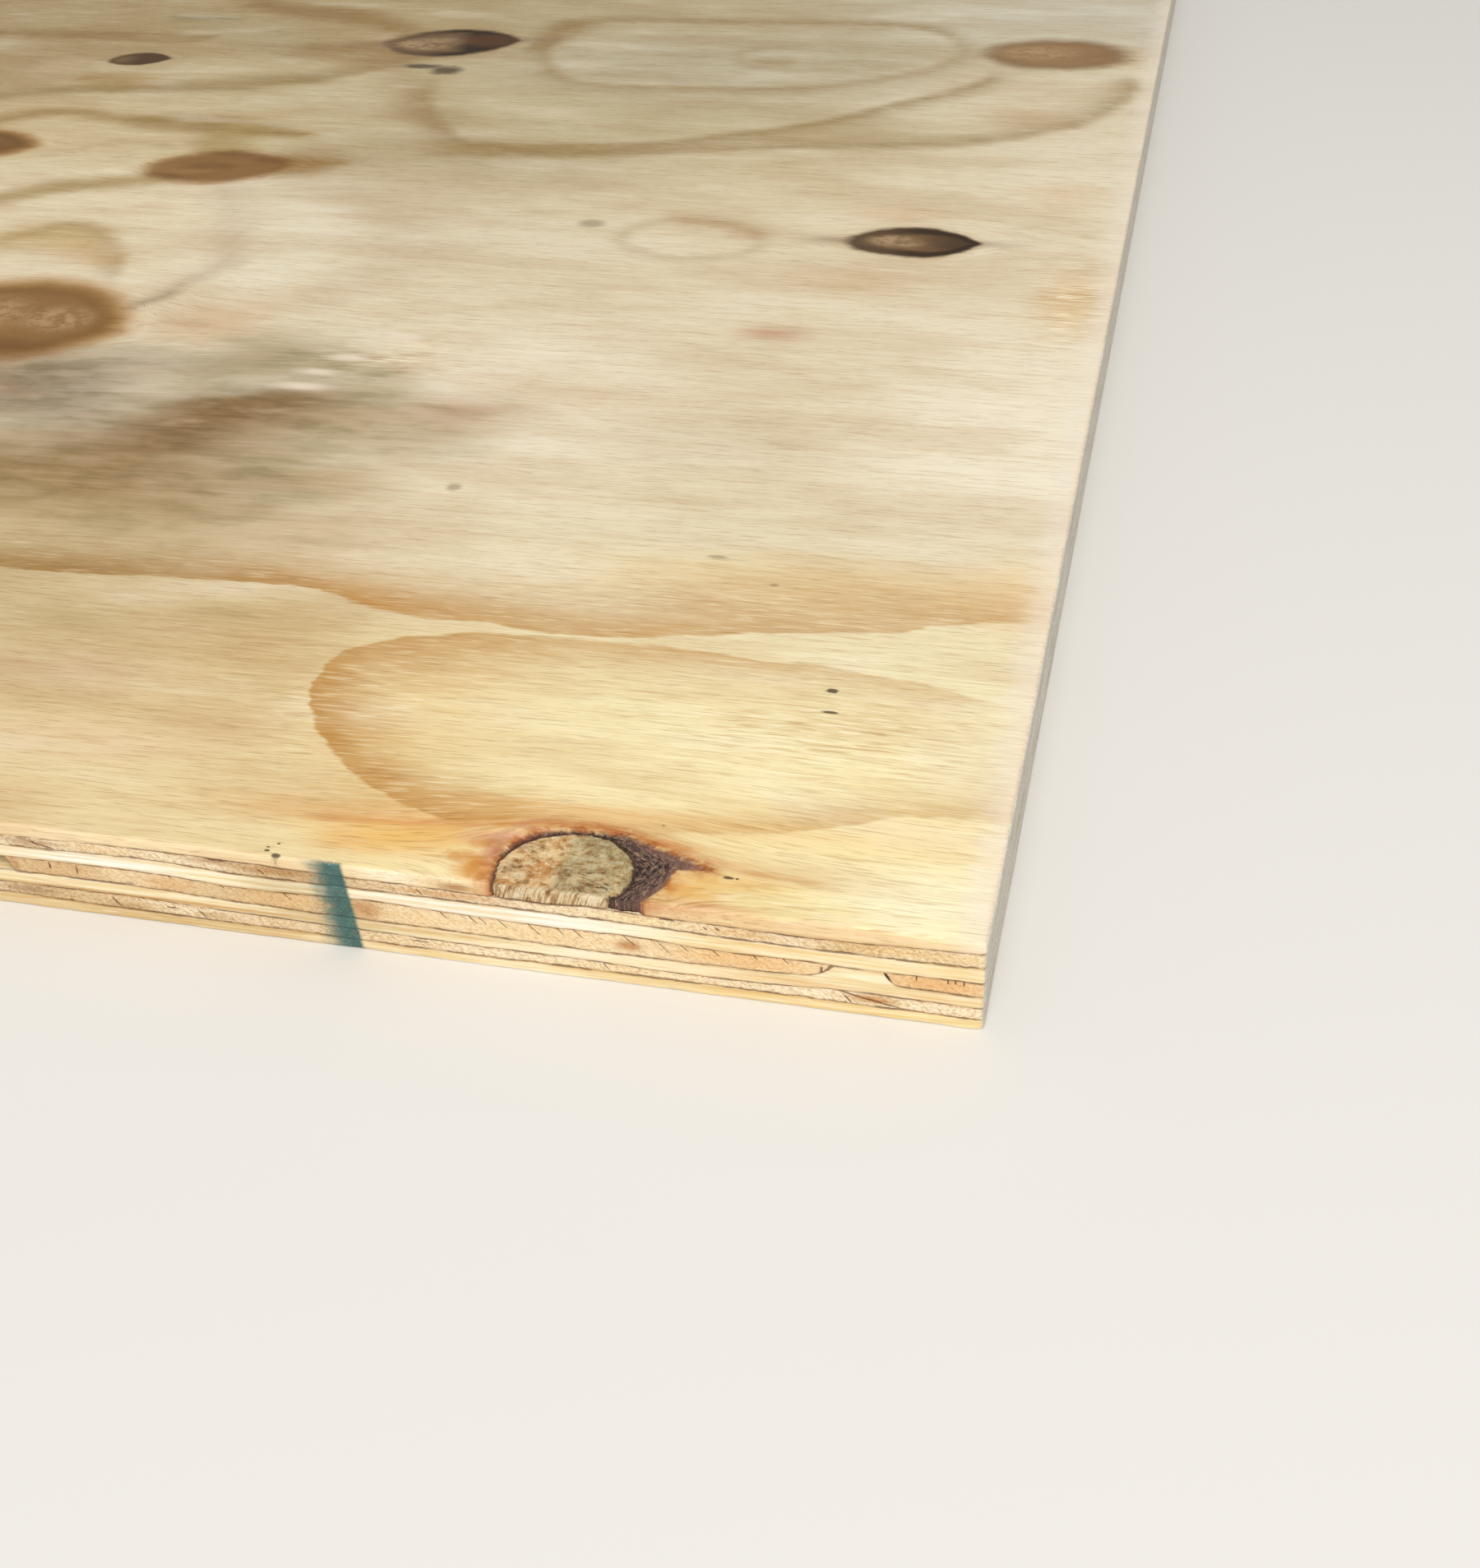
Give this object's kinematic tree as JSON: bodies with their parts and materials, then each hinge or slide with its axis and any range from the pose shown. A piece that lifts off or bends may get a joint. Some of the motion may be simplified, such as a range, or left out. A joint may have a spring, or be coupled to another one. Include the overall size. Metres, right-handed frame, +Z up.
{
  "type": "plywood sheet",
  "caption": "Flat rectangular sheet of cross-laid softwood veneers, with knots in its face and its veneer edges showing on all four sides.",
  "frame": {"origin": "middle of the underside, on the plane that the sheet lies on", "axes": "+X along the sheet's length and the grain of its face, +Y across its width, +Z up out of the face veneer"},
  "size_m": [2.4384, 1.2192, 0.0183],
  "materials": {
    "face_pine": "smooth peeled pine veneer, with knots",
    "crossband_pine": "peeled pine veneer laid across, rough end grain at the long edges",
    "long_band_pine": "peeled pine veneer laid lengthwise, sawn smooth at the long edges",
    "back_pine": "peeled pine veneer with open knots"
  },
  "bodies": {
    "root": {"face_veneer": "face_pine", "upper_crossband_1": "crossband_pine", "upper_crossband_2": "crossband_pine", "upper_crossband_3": "crossband_pine", "upper_long_veneer": "long_band_pine", "core_strip_1": "crossband_pine", "core_strip_2": "crossband_pine", "core_strip_3": "crossband_pine", "core_strip_4": "crossband_pine", "lower_long_veneer": "long_band_pine", "lower_crossband_1": "crossband_pine", "lower_crossband_2": "crossband_pine", "lower_crossband_3": "crossband_pine", "back_veneer": "back_pine"}
  },
  "joints": []
}
